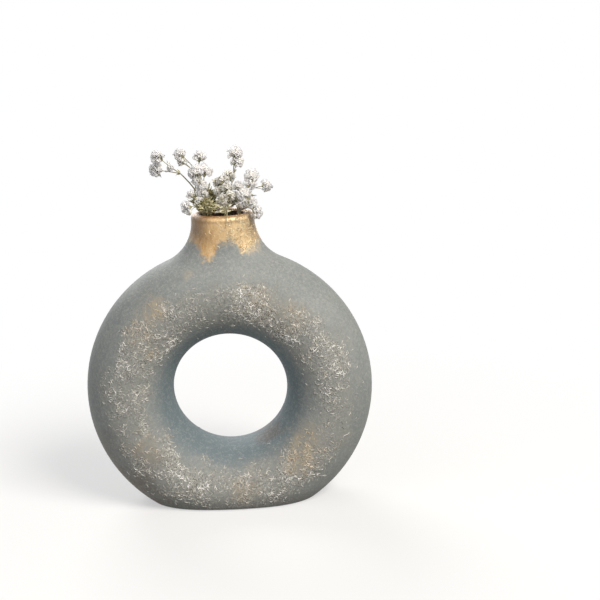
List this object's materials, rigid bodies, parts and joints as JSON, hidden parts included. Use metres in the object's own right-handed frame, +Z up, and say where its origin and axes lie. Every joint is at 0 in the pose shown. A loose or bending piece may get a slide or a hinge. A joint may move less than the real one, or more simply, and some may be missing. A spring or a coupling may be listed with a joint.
{
  "type": "donut vase",
  "caption": "Hollow ceramic ring vase with a short flared neck and a flat foot, holding loose sprigs of dried baby's-breath that lift out.",
  "frame": {"origin": "centre of the foot, in the plane that the vase stands on", "axes": "+Z up through the neck, X across the ring from left to right as seen from the front, +Y through the ring's hole from the front to the back"},
  "size_m": [0.16, 0.0528, 0.1992],
  "materials": {
    "painted_ceramic": "matte blue-grey paint over a crinkled texture, rubbed with pale gold along the ring's front and brushed gold on the neck",
    "dried_flower": "matte dried petals, off-white, on thin olive-brown stems"
  },
  "bodies": {
    "vase": {"vase_body": "painted_ceramic"},
    "sprig_far_left_body": {"sprig_far_left": "dried_flower"},
    "sprig_upper_left_body": {"sprig_upper_left": "dried_flower"},
    "sprig_left_body": {"sprig_left": "dried_flower"},
    "sprig_low_left_body": {"sprig_low_left": "dried_flower"},
    "sprig_centre_body": {"sprig_centre": "dried_flower"},
    "sprig_tall_body": {"sprig_tall": "dried_flower"},
    "sprig_right_body": {"sprig_right": "dried_flower"},
    "sprig_low_right_body": {"sprig_low_right": "dried_flower"}
  },
  "joints": [
    {"name": "lift_far_left", "type": "slide", "parent": "vase", "child": "sprig_far_left_body", "axis": [-0.0282, 0.0045, 0.9996], "range_m": [0, 0.07]},
    {"name": "lift_upper_left", "type": "slide", "parent": "vase", "child": "sprig_upper_left_body", "axis": [-0.0194, 0.0216, 0.9996], "range_m": [0, 0.07]},
    {"name": "lift_left", "type": "slide", "parent": "vase", "child": "sprig_left_body", "axis": [-0.027, -0.0093, 0.9996], "range_m": [0, 0.07]},
    {"name": "lift_low_left", "type": "slide", "parent": "vase", "child": "sprig_low_left_body", "axis": [-0.0163, -0.0242, 0.9996], "range_m": [0, 0.07]},
    {"name": "lift_centre", "type": "slide", "parent": "vase", "child": "sprig_centre_body", "axis": [0.0051, -0.0291, 0.9996], "range_m": [0, 0.07]},
    {"name": "lift_tall", "type": "slide", "parent": "vase", "child": "sprig_tall_body", "axis": [0.0106, 0.0275, 0.9996], "range_m": [0, 0.07]},
    {"name": "lift_right", "type": "slide", "parent": "vase", "child": "sprig_right_body", "axis": [0.0277, 0.0069, 0.9996], "range_m": [0, 0.07]},
    {"name": "lift_low_right", "type": "slide", "parent": "vase", "child": "sprig_low_right_body", "axis": [0.0243, -0.0152, 0.9996], "range_m": [0, 0.07]}
  ]
}
